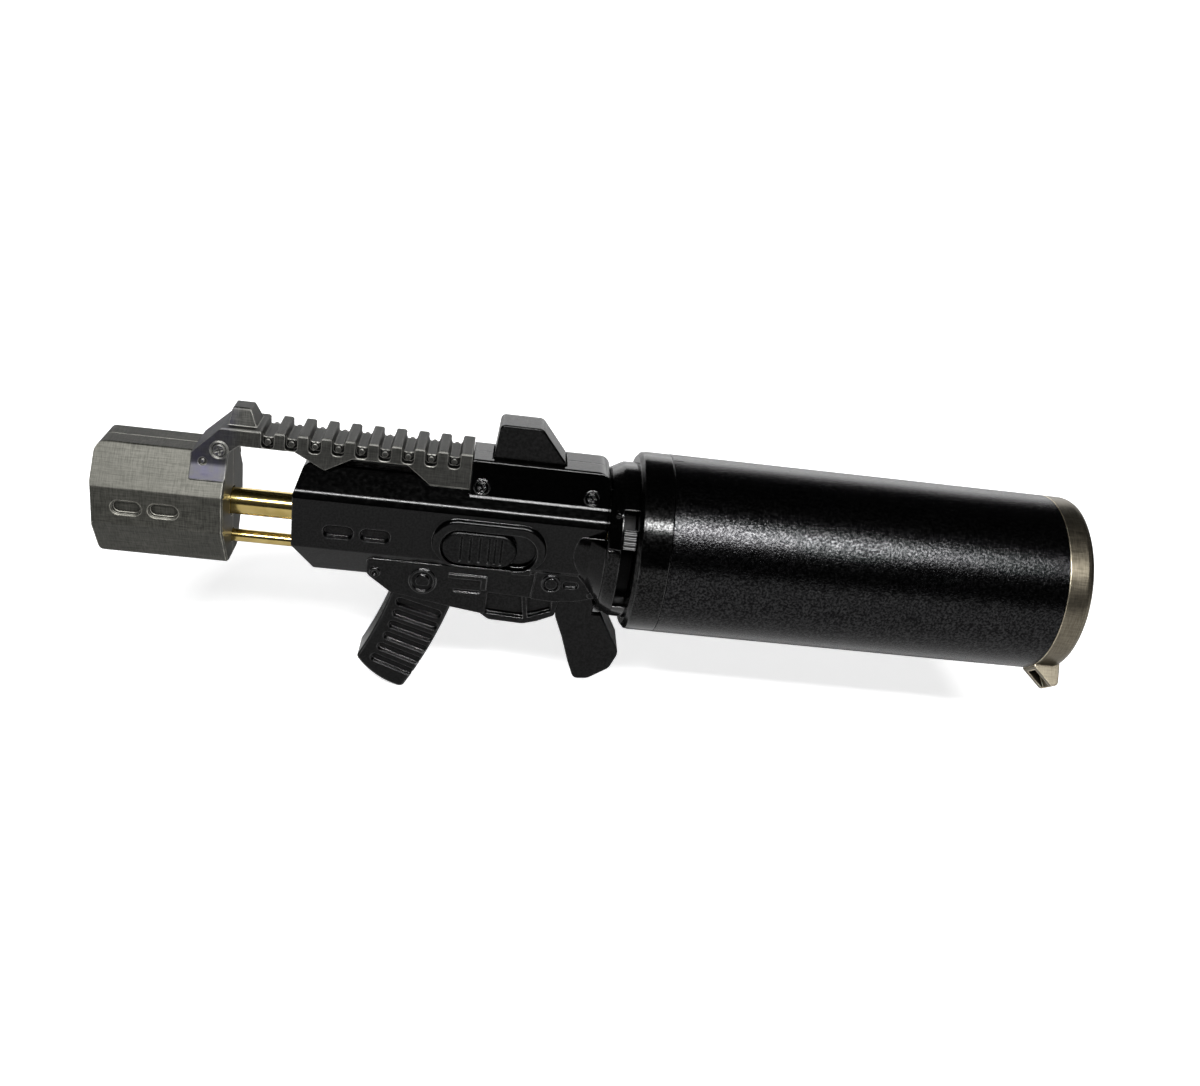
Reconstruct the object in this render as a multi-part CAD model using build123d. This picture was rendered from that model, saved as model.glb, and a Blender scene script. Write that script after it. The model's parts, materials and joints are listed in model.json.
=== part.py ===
"""Rifle-shaped jet torch lighter on a cylindrical gas tank.

Frame, in millimetres: the tank's axis is X, with the muzzle towards -X and the flat rear
face of the base cap at X = 0.  +Z is up (top rail, ignition button), -Y is the left side
with the thumb slider.
"""
import os
from math import cos, radians, sin

from build123d import *

# ---------------------------------------------------------------- driving dimensions
TANK_R = 20.0                # tank sleeve, outside
CAP_LENGTH = 6.0             # base cap, shown length
SLEEVE_LENGTH = 87.0         # tank sleeve, shown length
WALL = 1.4                   # tank sleeve wall

X_CAP = -CAP_LENGTH
X_COLLAR = X_CAP - SLEEVE_LENGTH      # -93: joint of sleeve and collar
X_NECK = X_COLLAR - 7.0               # -100: joint of collar and neck
X_BODY = X_NECK - 6.0                 # -106: joint of neck and body shells

# body casting
BODY_FRONT = -172.7
BODY_HALF = 10.0             # half width at the flanks
BEVEL_TOP, BEVEL_TOP_HALF = 7.78, 9.35
BEVEL_LOW = 6.4
RIDGE_LOW = -4.8
RIDGE_HIGH = 7.1
FLARE_FRONT = -112.6         # where the rear cheeks start to widen towards the neck
FLARE_HIGH = 4.0
FLARE_LOW = -11.5
BODY_TOP, BODY_TOP_HALF = 12.5, 4.8
BODY_BOTTOM, BODY_BOTTOM_HALF = -12.5, 5.0
BLOCK_FRONT = -136.0
BLOCK_TOP, BLOCK_TOP_HALF = 17.4, 5.35
BLOCK_LOW, BLOCK_LOW_HALF = 9.8, 7.3
RECEIVER_HALF = 8.8
PANEL_HALF = 9.4
GUARD_HALF = 7.6
STRUT_HALF = 5.5

# muzzle shroud
SHROUD_FRONT, SHROUD_REAR = -214.2, -187.0
SHROUD = [(4.7, 12.5), (10.05, 4.3), (10.05, -3.9), (4.7, -13.4)]
SHROUD_WALL = 1.7

# brass tubes
TUBE_Z, TUBE_R, TUBE_BORE = -0.35, 2.95, 2.3
LEAD_Z, LEAD_R, LEAD_BORE = -8.7, 1.4, 1.05

# top rail
RAIL_FRONT, RAIL_REAR = -194.4, -136.1
RAIL_TOP, RAIL_TOP_HALF = 18.5, 5.15
RAIL_EDGE, RAIL_EDGE_HALF = 18.15, 5.45
RAIL_SKIRT, RAIL_SKIRT_HALF = 10.6, 6.45
RAIL_PITCH, RAIL_SLOTS, RAIL_FIRST_SLOT = 4.86, 9, -178.8

# magazine and grip
MAGAZINE_HALF, GRIP_HALF = 4.0, 5.0

# ignition button
BUTTON_HALF = 3.7
BUTTON_STROKE = 3.5

# thumb slider: centre height, bed, and travel
SLIDER_Z, SLIDER_REST, SLIDER_LENGTH, SLIDER_HEIGHT = -1.0, -132.8, 16.2, 7.8
SLIDER_BED = 9.2
SLIDER_TRAVEL = 4.0

# valve train
LEVER_X, LEVER_Z = -111.3, -4.5
STEM_R = 1.0
RUNNING = 0.05               # radial clearance of running fits

os.makedirs("parts", exist_ok=True)


# ---------------------------------------------------------------- helpers
def closed_face(points, radii):
    """Planar face in local XY with rounded corners."""
    return make_face(FilletPolyline(*points, radius=radii, close=True))


def side_slab(points, radii, y_low, y_high):
    """Side profile in (x, z), from y_low to y_high."""
    plane = Plane(origin=(0, y_high, 0), x_dir=(1, 0, 0), z_dir=(0, -1, 0))
    return extrude(plane * closed_face(points, radii), y_high - y_low)


def section_slab(points, radii, x_low, x_high):
    """Cross-section in (y, z), from x_low to x_high."""
    plane = Plane(origin=(x_low, 0, 0), x_dir=(0, 1, 0), z_dir=(1, 0, 0))
    return extrude(plane * closed_face(points, radii), x_high - x_low)


def mirrored(points):
    """Close a right-hand half outline, given from top to bottom, about the Z axis."""
    return points + [(-y, z) for y, z in reversed(points)]


def both(radii):
    """Corner radii for an outline made by mirrored()."""
    return radii + radii[::-1]


def rod(x_low, x_high, radius, y=0.0, z=0.0):
    """Solid cylinder along X."""
    plane = Plane(origin=(x_low, y, z), x_dir=(0, 1, 0), z_dir=(1, 0, 0))
    return extrude(plane * Circle(radius), x_high - x_low)


def pipe(x_low, x_high, radius, bore, y=0.0, z=0.0):
    """Hollow cylinder along X."""
    return rod(x_low, x_high, radius, y, z) - rod(x_low - 1, x_high + 1, bore, y, z)


def cross_rod(y_low, y_high, radius, x, z):
    """Solid cylinder along Y."""
    plane = Plane(origin=(x, y_low, z), x_dir=(1, 0, 0), z_dir=(0, 1, 0))
    return extrude(plane * Circle(radius), y_high - y_low)


def post(x, y, z_low, z_high, radius):
    """Solid cylinder along Z."""
    return extrude(Plane(origin=(x, y, z_low)) * Circle(radius), z_high - z_low)


def block(x, y, z):
    """Box from three (low, high) pairs."""
    size = [high - low for low, high in (x, y, z)]
    middle = [(high + low) / 2 for low, high in (x, y, z)]
    return Pos(*middle) * Box(*size)


def turned(profile):
    """Solid of revolution about X from an (x, r) outline."""
    return revolve(make_face(Polyline(*profile, close=True)), Axis.X)


def stadium(x_low, x_high, z_low, z_high, y_low, y_high):
    """Round-ended slab lying along X, between two Y planes."""
    radius = (z_high - z_low) / 2 - 0.001
    corners = [(x_low, z_low), (x_high, z_low), (x_high, z_high), (x_low, z_high)]
    return side_slab(corners, radius, y_low, y_high)


def span(side, low, high):
    """Y range on the left (side = -1) or right (side = +1) flank."""
    return (low, high) if side > 0 else (-high, -low)


def side_slot(x, z, length, height, face, depth, side):
    """Cutters for a blind round-ended slot in the flank at side * face, with a bevelled rim."""
    rim, proud = 0.3, 0.05
    outward = Plane(origin=(x, side * (face - depth), z), x_dir=(1, 0, 0), z_dir=(0, side, 0))
    inward = Plane(origin=(x, side * (face + proud), z), x_dir=(1, 0, 0), z_dir=(0, -side, 0))
    slot = extrude(outward * SlotOverall(length, height), depth + 1)
    grown = 2 * (rim + proud) + 0.04
    bevel = extrude(inward * SlotOverall(length + grown, height + grown), rim + proud, taper=45)
    return slot, bevel


def moulded_screw(face, radius):
    """Round rim with a cross-recessed head inside: the solid to add, then the cutters."""
    add = extrude(face.offset(-0.3) * Circle(radius), 0.3 + 0.28)
    well = extrude(face.offset(-0.12) * (Circle(radius - 0.28) - Circle(radius - 0.68)), 1.0)
    arms = [extrude(face.offset(-0.1) * (Rot(0, 0, turn) * Rectangle(1.35 * (radius - 0.6), 0.42)),
                    1.0) for turn in (20, 110)]
    return add, [well, *arms]


def coil(x_low, x_high, radius, wire, turns, axis="X", at=(0, 0, 0)):
    """Open coil spring whose ends stay inside x_low and x_high along its axis."""
    length = x_high - x_low - 2 * wire
    path = Helix(length / turns, length, radius)
    section = Plane(origin=path @ 0, z_dir=path % 0) * Circle(wire)
    spring = sweep(section, path)
    spring = Pos(0, 0, x_low + wire) * spring
    if axis == "X":
        spring = Rot(0, 90, 0) * spring
    return Pos(*at) * spring


def torus_x(x, major, minor):
    """O-ring about the X axis."""
    return Pos(x, 0, 0) * Rot(0, 90, 0) * Torus(major, minor)


def export(name, shape):
    """One STEP per node."""
    export_step(Compound(children=list(shape.solids())) if len(shape.solids()) > 1
                else shape.solid(), f"parts/{name}.step")


def halves(shape):
    """Left (-Y) and right (+Y) parts of a shape."""
    reach = 60
    left = shape & block((-260, 20), (-reach, 0), (-reach, reach))
    right = shape & block((-260, 20), (0, reach), (-reach, reach))
    return left, right


# ---------------------------------------------------------------- muzzle shroud and burner
def shroud_outer():
    """Octagonal block with rounded front corners."""
    outline = section_slab(mirrored(SHROUD), both([0.7, 0.6, 0.6, 2.0]),
                           SHROUD_FRONT, SHROUD_REAR)
    outline = chamfer(outline.faces().sort_by(Axis.X)[-1].edges(), 0.35)
    top, bottom = SHROUD[0][1] + 0.001, SHROUD[-1][1] - 0.001
    corners = [(SHROUD_FRONT, bottom), (SHROUD_FRONT, top), (SHROUD_REAR + 1, top),
               (SHROUD_REAR + 1, bottom)]
    outline &= side_slab(corners, [1.8, 2.2, 0, 0], -12, 12)
    wide = SHROUD[1][0] + 0.001
    plan = [(SHROUD_FRONT, -wide), (SHROUD_REAR + 1, -wide), (SHROUD_REAR + 1, wide),
            (SHROUD_FRONT, wide)]
    return outline & extrude(Plane(origin=(0, 0, -16)) * closed_face(plan, [0.7, 0, 0, 0.7]), 32)


def shroud_inner():
    """Octagonal flame chamber, open at the muzzle."""
    shrink = [(4.0, 12.5 - SHROUD_WALL), (10.05 - SHROUD_WALL, 3.8),
              (10.05 - SHROUD_WALL, -3.4), (4.0, -13.4 + SHROUD_WALL)]
    return section_slab(mirrored(shrink), both([0.5, 0.5, 0.5, 1.0]),
                        SHROUD_FRONT - 1, SHROUD_REAR - 2.2)


def shroud():
    """Hollow shroud with tube holes and two blind slots on each flank."""
    body = shroud_outer() - shroud_inner()
    body -= rod(SHROUD_REAR - 3, SHROUD_REAR + 1, TUBE_R + 0.35, z=TUBE_Z)
    body -= rod(SHROUD_REAR - 3, SHROUD_REAR + 1, LEAD_R + 0.25, z=LEAD_Z)
    for centre in (-206.8, -199.2):
        for side in (-1, 1):
            for cutter in side_slot(centre, -0.05, 5.8, 2.7, SHROUD[1][0], 1.0, side):
                body -= cutter
    return body


def nozzle():
    """Turned burner nozzle: rear socket, air ports, mixing bore and flame cup."""
    z = TUBE_Z
    outer = turned([(-209.0, 0), (-209.0, 6.0), (-202.0, 6.0), (-200.5, 4.6), (-189.6, 4.6),
                    (-189.6, 0)])
    bore = turned([(-210.0, 0), (-210.0, 5.3), (-203.0, 5.3), (-201.5, 2.2), (-194.0, 2.2),
                   (-194.0, TUBE_R + 0.05), (-189.0, TUBE_R + 0.05), (-189.0, 0)])
    body = Pos(0, 0, z) * (outer - bore)
    for k in range(6):
        port = Pos(0, 0, z) * Rot(60 * k, 0, 0) * post(-196.6, 0, 2.0, 6.0, 0.8)
        body -= port
    return body


def flame_disc():
    """Perforated flame disc seated in the nozzle cup."""
    disc = rod(-205.4, -204.2, 5.2, z=TUBE_Z)
    disc -= rod(-206, -204, 0.75, z=TUBE_Z)
    for k in range(8):
        angle = radians(45 * k)
        disc -= rod(-206, -204, 0.65, y=3.2 * cos(angle), z=TUBE_Z + 3.2 * sin(angle))
    return disc


def nozzle_holder():
    """Stamped plate that holds the nozzle and the lead tube in the shroud."""
    plate = [(3.9, 10.6), (8.2, 3.7), (8.2, -3.3), (3.9, -11.5)]
    body = section_slab(mirrored(plate), both([0.6, 0.5, 0.5, 1.1]), -199.8, -198.8)
    body -= rod(-201, -197, 4.6 + RUNNING, z=TUBE_Z)
    body -= rod(-201, -197, 1.45, z=LEAD_Z)
    for y in (-6.1, 6.1):
        body -= rod(-201, -197, 1.4, y=y, z=-1.0)
    return body


def electrode():
    """Steel igniter pin with its tip turned up towards the flame disc."""
    return rod(-207.5, -190.5, 0.4, z=LEAD_Z) + post(-207.1, 0, LEAD_Z, LEAD_Z + 1.6, 0.4)


# ---------------------------------------------------------------- body casting
def main_section(x_low, x_high):
    """Flanked, chamfered cross-section of the fore-end."""
    outline = [(BODY_TOP_HALF, BODY_TOP), (BEVEL_TOP_HALF, BEVEL_TOP), (BODY_HALF, BEVEL_LOW),
               (BODY_HALF, RIDGE_LOW), (BODY_BOTTOM_HALF, BODY_BOTTOM)]
    return section_slab(mirrored(outline), both([0.8, 2.6, 1.0, 0.6, 1.5]), x_low, x_high)


def main_profile():
    """Side outline of the fore-end, with its raked front corners."""
    outline = [(BODY_FRONT, RIDGE_LOW), (BODY_FRONT, RIDGE_HIGH), (BODY_FRONT + 1.6, BODY_TOP),
               (X_BODY, BODY_TOP), (X_BODY, -9.0), (-112.0, -11.0), (-150.0, BODY_BOTTOM),
               (BODY_FRONT + 4.4, BODY_BOTTOM)]
    return side_slab(outline, [1.2, 3.0, 1.8, 0, 0, 0, 0, 1.2], -12, 12)


def upper_block():
    """Drafted housing around the ignition button."""
    section = [(BLOCK_TOP_HALF, BLOCK_TOP), (BLOCK_LOW_HALF - 0.1, BLOCK_LOW + 0.35),
               (BLOCK_LOW_HALF + 0.2, BLOCK_LOW - 0.1), (BLOCK_LOW_HALF + 0.2, 4.0)]
    side = [(BLOCK_FRONT, 4.0), (BLOCK_FRONT, BLOCK_TOP), (X_BODY, BLOCK_TOP), (X_BODY, 4.0)]
    return (section_slab(mirrored(section), both([0.6, 0.3, 0.05, 0]), BLOCK_FRONT, X_BODY)
            & side_slab(side, [0, 0.15, 2.8, 0], -12, 12))


RECEIVER = [(-156.7, -6.2), (-156.7, -10.6), (-151.2, -14.6), (-137.6, -16.8), (-130.3, -17.8),
            (-130.3, -12.3), (-122.0, -12.6), (-115.6, -12.9), (-110.2, -12.2), (-105.6, -10.9),
            (-112.2, -5.4), (-112.2, -3.5), (-121.0, -3.5), (-121.0, -6.2)]
REAR_PANEL = [(-119.9, -5.0), (-120.7, -12.5), (-115.6, -12.7), (-110.2, -12.0),
              (-105.9, -10.7), (-111.7, -4.8)]
GUARD = [(-133.0, -10.0), (-133.0, -17.4), (-129.4, -19.9), (-121.6, -20.2), (-118.4, -19.2),
         (-114.8, -17.4), (-113.0, -10.0)]
GUARD_WINDOW = [(-130.2, -10.5), (-130.2, -18.1), (-121.7, -18.5), (-115.7, -16.1),
                (-115.7, -10.5)]
GUARD_RECESS = 1.2
STRUT = [(-113.0, -9.0), (-99.0, -9.5), (-99.0, -17.6), (-101.4, -17.2), (-104.6, -14.9),
         (-107.2, -12.6), (-113.0, -12.3)]


def softened(slab, radius):
    """Round the side edges of a slab made by side_slab()."""
    sides = slab.faces().sort_by(Axis.Y)
    return fillet(sides[0].edges() + sides[-1].edges(), radius)


def receiver():
    """Lower receiver plate, guard block, rear panel and rear strut."""
    plate = side_slab(RECEIVER, [1.8, 2.0, 1.5, 4.0, 0.5, 0.6, 3.0, 3.0, 1.0, 0.8, 0.8, 0.5,
                                 0.3, 0.3], -RECEIVER_HALF, RECEIVER_HALF)
    panel = side_slab(REAR_PANEL, [0.5, 0.5, 3.0, 1.0, 0.5, 1.0], -PANEL_HALF, PANEL_HALF)
    guard = side_slab(GUARD, [0.2, 1.5, 2.0, 3.0, 2.0, 0.8, 0.2], -GUARD_HALF, GUARD_HALF)
    strut = side_slab(STRUT, [0.2, 0.2, 0.5, 1.5, 1.5, 1.5, 0.2], -STRUT_HALF, STRUT_HALF)
    return (softened(plate, 0.3) + softened(panel, 0.2) + softened(guard, 0.8)
            + softened(strut, 0.5))


def side_relief(side):
    """Raised and sunk detail of one flank; side is -1 for left, +1 for right."""
    plate, panel = RECEIVER_HALF, PANEL_HALF
    raised = [
        cross_rod(*span(side, plate - 0.4, plate + 0.35), 1.15, -154.8, -9.9),
        cross_rod(*span(side, plate - 0.4, plate + 0.4), 3.0, -144.4, -10.9),
        block((-138.9, -130.5), span(side, plate - 0.4, plate + 0.5), (-9.3, -8.3)),
        block((-131.7, -130.5), span(side, plate - 0.4, plate + 0.5), (-11.6, -8.3)),
        cross_rod(*span(side, panel - 0.4, panel + 0.25), 2.1, -116.5, -8.2),
        cross_rod(*span(side, panel - 0.4, panel + 0.3), 0.75, -107.6, -10.1),
        side_slab([(-122.6, -12.0), (-121.6, -18.7), (-120.6, -18.7), (-121.6, -12.0)], 0.2,
                  *span(side, GUARD_HALF - 1.5, GUARD_HALF)),
    ]
    sunk = [
        cross_rod(*span(side, plate - 0.2, plate + 1.0), 0.55, -154.8, -9.9),
        cross_rod(*span(side, plate - 0.1, plate + 1.0), 2.4, -144.4, -10.9)
        - cross_rod(*span(side, plate - 0.3, plate + 1.1), 1.5, -144.4, -10.9),
        block((-146.0, -142.8), span(side, plate - 0.1, plate + 1.0), (-12.4, -11.9)),
        cross_rod(*span(side, panel - 0.15, panel + 1.0), 1.7, -116.5, -8.2)
        - cross_rod(*span(side, panel - 0.3, panel + 1.1), 1.3, -116.5, -8.2),
        stadium(-137.6, -131.7, -12.8, -12.1, *span(side, plate - 0.35, plate + 1.0)),
        block((-155.4, -121.2), span(side, 8.5, BODY_HALF), (-6.6, -6.1)),
    ]
    sunk += side_slot(-112.2, -8.2, 2.9, 1.2, panel, 0.6, side)
    for centre in (-162.9, -155.1):
        sunk += side_slot(centre, -0.7, 6.0, 2.45, BODY_HALF, 1.0, side)
    return raised, sunk


def block_face(x, z, side):
    """Plane on the upper block's drafted flank."""
    slope = (BLOCK_TOP_HALF - BLOCK_LOW_HALF) / (BLOCK_TOP - BLOCK_LOW)
    y = side * (BLOCK_TOP_HALF + slope * (z - BLOCK_TOP))
    return Plane(origin=(x, y, z), x_dir=(1, 0, 0), z_dir=(0, side, -slope))


def slider_frame():
    """Raised bead around the slider's window, on the left flank."""
    bead = stadium(-143.0, -118.4, -5.9, 5.35, -BODY_HALF - 1.0, -BODY_HALF + 0.6)
    bead = fillet(bead.faces().sort_by(Axis.Y)[0].edges(), 0.7)
    return bead + block((-125.4, -121.3), (-BODY_HALF - 1.2, -BODY_HALF), (-5.9, -4.6))


def rear_flare():
    """Cheeks that widen from the flanks to the neck."""
    cone = turned([(FLARE_FRONT, 0), (FLARE_FRONT, BODY_HALF - 0.1), (-109.2, 12.0),
                   (X_BODY, 15.1), (X_BODY, 0)])
    return cone & block((FLARE_FRONT, X_BODY), (-TANK_R, TANK_R), (FLARE_LOW, FLARE_HIGH))


def body_outer():
    """Outside of the body casting."""
    shape = (main_section(BODY_FRONT, X_BODY) & main_profile()) + upper_block() + receiver()
    shape += rear_flare()
    shape -= rod(X_BODY, X_NECK + 2, TANK_R)
    return shape


def body_hollow():
    """Inside of the body casting."""
    fore = [(4.0, 10.6), (8.2, 6.4), (8.2, -4.2), (4.2, -10.6)]
    hollow = section_slab(mirrored(fore), both([0.5] * 4), BODY_FRONT + 2.2, -157.0)
    middle = [(4.4, 11.2), (7.9, 6.4), (7.9, -4.2), (5.2, -9.8)]
    hollow += section_slab(mirrored(middle), both([0.5] * 4), -157.0, -114.0)
    rear = [(4.4, 11.2), (7.9, 6.4), (7.9, -4.2), (5.8, -7.4)]
    hollow += section_slab(mirrored(rear), both([0.5] * 4), -114.0, X_BODY - 2.4)
    hollow += block((-134.4, -108.6), (-4.5, 4.5), (8.0, 15.8))
    hollow += block((-134.5, -119.0), (-5.6, 5.6), (-15.2, -8.0))
    hollow += rod(X_BODY - 3, X_BODY + 1, 9.6)
    return hollow


# x, z, y of the head's face, length and radius of the boss on each side
SCREWS = [(-133.6, 11.9, 6.2, 5.2, 1.6), (-109.9, 11.9, 6.2, 5.2, 1.6),
          (-166.0, 6.3, 9.6, 7.4, 1.9), (-152.6, -6.8, 9.6, 7.4, 1.9)]


def guard_recess(side):
    """Cutter for the sunk window of the guard block, below the receiver plate."""
    window = side_slab(GUARD_WINDOW, [0, 0.5, 0.5, 0.5, 0],
                       *span(side, GUARD_HALF - GUARD_RECESS, GUARD_HALF + 1))
    plate = side_slab(RECEIVER, 0.05, *span(side, 0, RECEIVER_HALF))
    return window - plate


def shells():
    """Left and right body shells."""
    shape = body_outer() - body_hollow()
    for x, z, _, reach, radius in SCREWS:
        shape += cross_rod(-reach, reach, radius, x, z)
    for side in (-1, 1):
        shape += cross_rod(*span(side, 6.2, 8.3), 2.2, LEVER_X, LEVER_Z)
        shape -= guard_recess(side)
        raised, sunk = side_relief(side)
        for piece in raised:
            shape += piece
        for piece in sunk:
            shape -= piece
    for x in (SCREWS[0][0], SCREWS[1][0]):
        head, cutters = moulded_screw(block_face(x, SCREWS[0][1], -1), 1.7)
        shape += head
        for cutter in cutters:
            shape -= cutter
    shape += slider_frame()
    shape -= stadium(-141.2, -120.3, -5.2, 3.2, -BODY_HALF - 2, -SLIDER_BED)
    shape -= stadium(-136.0, -125.6, -2.2, 0.2, -10, -7)
    # button opening, tube holes, magazine and grip sockets
    shape -= block((-131.9, -115.9), (-BUTTON_HALF - 0.15, BUTTON_HALF + 0.15), (14, 20))
    shape -= rod(BODY_FRONT - 1, BODY_FRONT + 4, TUBE_R + 0.02, z=TUBE_Z)
    shape -= rod(BODY_FRONT - 1, BODY_FRONT + 6, LEAD_R + 0.02, z=LEAD_Z)
    shape -= rod(BODY_FRONT, -140.0, 0.85, z=LEAD_Z)
    shape -= magazine_blank()
    shape -= grip_blank()
    shape -= cross_rod(-7.9, 7.9, 0.82, LEVER_X, LEVER_Z)
    for x, z, head, reach, _ in SCREWS:
        shape -= cross_rod(1 - reach, 12.0, 0.86, x, z)
        shape -= cross_rod(head - 1.2, 12.0, 1.55, x, z)
    return halves(shape)


def shell_screws():
    """Four cross-head screws driven from the right side."""
    group = []
    for x, z, head, reach, _ in SCREWS:
        screw = cross_rod(1.4 - reach, head - 1.2, 0.8, x, z)
        screw += cross_rod(head - 1.2, head - 0.1, 1.45, x, z)
        for size in ((1.8, 0.45), (0.45, 1.8)):
            screw -= block((x - size[0] / 2, x + size[0] / 2), (head - 0.7, head + 1),
                           (z - size[1] / 2, z + size[1] / 2))
        group.append(screw)
    return Compound(children=[solid for screw in group for solid in screw.solids()])


# ---------------------------------------------------------------- magazine and grip
def magazine_blank():
    """Curved box with a rounded foot, and a tenon in the receiver."""
    front = [(-150.4, -13.2), (-153.6, -24.0), (-158.3, -34.6)]
    foot = [(-158.3, -34.6), (-153.6, -39.3), (-147.5, -41.9)]
    rear = [(-147.5, -41.9), (-141.8, -30.0), (-136.9, -15.2)]
    edge = (ThreePointArc(*front) + ThreePointArc(*foot) + ThreePointArc(*rear)
            + Line(rear[-1], front[0]))
    plane = Plane(origin=(0, MAGAZINE_HALF, 0), x_dir=(1, 0, 0), z_dir=(0, -1, 0))
    body = extrude(plane * make_face(edge), 2 * MAGAZINE_HALF)
    low = body.edges().filter_by(Axis.Y).sort_by(Axis.Z)
    return fillet(low[:2], 1.3)


def magazine():
    """Magazine with rounded ribs between its side grooves."""
    body = magazine_blank()
    sides = body.faces().sort_by(Axis.Y)
    body = chamfer(sides[0].edges() + sides[-1].edges(), 0.4)
    for k in range(6):
        place = Pos(-145.0 - 0.45 * k - 0.11 * k ** 2, 0, -20.5 - 3.1 * k) * Rot(0, 15 + 1.1 * k, 0)
        for side in (-1, 1):
            for cutter in side_slot(0, 0, 10.2, 1.6, MAGAZINE_HALF, 0.8, side):
                body -= place * cutter
    return body


GRIP = [(-115.0, -13.2), (-114.3, -19.0), (-112.2, -24.1), (-110.1, -30.4), (-108.3, -34.8),
        (-105.0, -34.5), (-100.3, -31.2), (-98.6, -26.8), (-106.0, -13.5), (-107.0, -10.6),
        (-115.0, -10.6)]


def grip_blank():
    """Pistol grip, with its tenon in the receiver."""
    return side_slab(GRIP, [1.5, 4.0, 4.0, 4.0, 1.5, 3.0, 2.6, 3.0, 1.5, 0, 0],
                     -GRIP_HALF, GRIP_HALF)


def grip():
    """Grip with softened side edges."""
    return softened(grip_blank() - rod(X_BODY, X_COLLAR, 17.45), 0.7)


# ---------------------------------------------------------------- top rail
RAIL_SIDE = [(-194.4, 7.4), (-187.0, 7.4), (-187.0, 13.0), (-184.6, 14.9), (-173.2, 14.9),
             (-166.8, 11.6), (-161.1, 14.7), (-149.6, 14.7), (-144.0, 10.4), (RAIL_REAR, 10.4),
             (RAIL_REAR, 19.0), (-188.2, 19.0), (-194.4, 12.9)]


def top_rail():
    """Inverted-channel rail: drafted walls, ramp, front sight and cross slots."""
    out = [(RAIL_TOP_HALF, RAIL_TOP), (RAIL_EDGE_HALF, RAIL_EDGE),
           (RAIL_SKIRT_HALF, RAIL_SKIRT), (8.9, 6.6)]
    inner = [(3.5, 16.2), (4.7, 12.0), (5.6, 9.0), (7.2, 6.0)]
    shell = section_slab(mirrored(out), both([0.15, 0.2, 3.0, 0]), -194.5, RAIL_REAR)
    shell &= rail_crest()
    shell -= section_slab(mirrored(inner), both([0.6, 0.3, 0.3, 0]), SHROUD_REAR - 0.5,
                          RAIL_REAR + 1)
    shell &= side_slab(RAIL_SIDE, [0.3, 0.6, 1.5, 0.6, 0.8, 0.8, 0.6, 0.6, 0.8, 0.2, 0, 0.2,
                                   0.2], -12, 12)
    for x in rail_slots():
        shell -= rail_pockets(x)
        shell += cross_rod(-5.1, 5.1, 0.65, x, 16.25)
    shell += front_sight()
    shell -= shroud_outer()
    shell -= body_outer()
    for side in (-1, 1):
        shell = foot_detail(shell, side)
    return shell


def rail_slots():
    """Centres of the cross slots."""
    return [RAIL_FIRST_SLOT + k * RAIL_PITCH for k in range(RAIL_SLOTS)]


def rail_crest():
    """Side outline of the rail: front ramp, then teeth with rounded tips between the slots."""
    points = [(-194.4, 7.0), (-194.4, 12.6), (-188.3, RAIL_TOP)]
    radii = [0, 0.5, 0.8]
    for x in rail_slots():
        low = RAIL_TOP - 1.5
        points += [(x - 1.5, RAIL_TOP), (x - 0.95, low), (x + 0.95, low), (x + 1.5, RAIL_TOP)]
        radii += [0.5, 0.3, 0.3, 0.5]
    points += [(RAIL_REAR, RAIL_TOP), (RAIL_REAR, 7.0)]
    return side_slab(points, radii + [0.2, 0], -12, 12)


def rail_pockets(x):
    """Round-bottomed pockets at both ends of a cross slot."""
    outline = [(x - 1.3, 15.0), (x + 1.3, 15.0), (x + 1.3, 18.0), (x - 1.3, 18.0)]
    left, right = (side_slab(outline, [0.9, 0.9, 0.3, 0.3], *span(side, 4.0, 8))
                   for side in (-1, 1))
    return left + right


def front_sight():
    """Tapered front sight on the rail."""
    low = Plane(origin=(-184.3, 0, 18.0)) * Rectangle(6.2, 7.4)
    high = Plane(origin=(-184.8, 0, 22.1)) * Rectangle(3.7, 4.4)
    body = loft([low, high])
    body = fillet(body.edges().group_by(Axis.Z)[-1], 0.6)
    return body + block((-187.3, -181.2), (-3.7, 3.7), (17.0, 18.2))


def foot_face(x, z, side):
    """Plane on the rail's drafted front foot."""
    slope = (RAIL_EDGE_HALF - RAIL_SKIRT_HALF) / (RAIL_EDGE - RAIL_SKIRT)
    y = side * (RAIL_EDGE_HALF + slope * (z - RAIL_EDGE))
    return Plane(origin=(x, y, z), x_dir=(1, 0, 0), z_dir=(0, side, -slope))


def foot_detail(shell, side):
    """Moulded screw and ringed dimple on one side of the rail's front foot."""
    head, cutters = moulded_screw(foot_face(-188.6, 13.6, side), 1.9)
    shell += head
    dimple = foot_face(-191.9, 10.9, side)
    cutters.append(extrude(dimple.offset(-0.35) * Circle(0.85), 1.0)
                   - extrude(dimple.offset(-0.5) * Circle(0.4), 2.0))
    for cutter in cutters:
        shell -= cutter
    return shell


# ---------------------------------------------------------------- ignition button and piezo
BUTTON = [(-131.6, 13.0), (-131.6, 18.0), (-130.9, 25.2), (-121.9, 25.2), (-116.3, 18.2),
          (-116.3, 13.0)]


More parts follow.
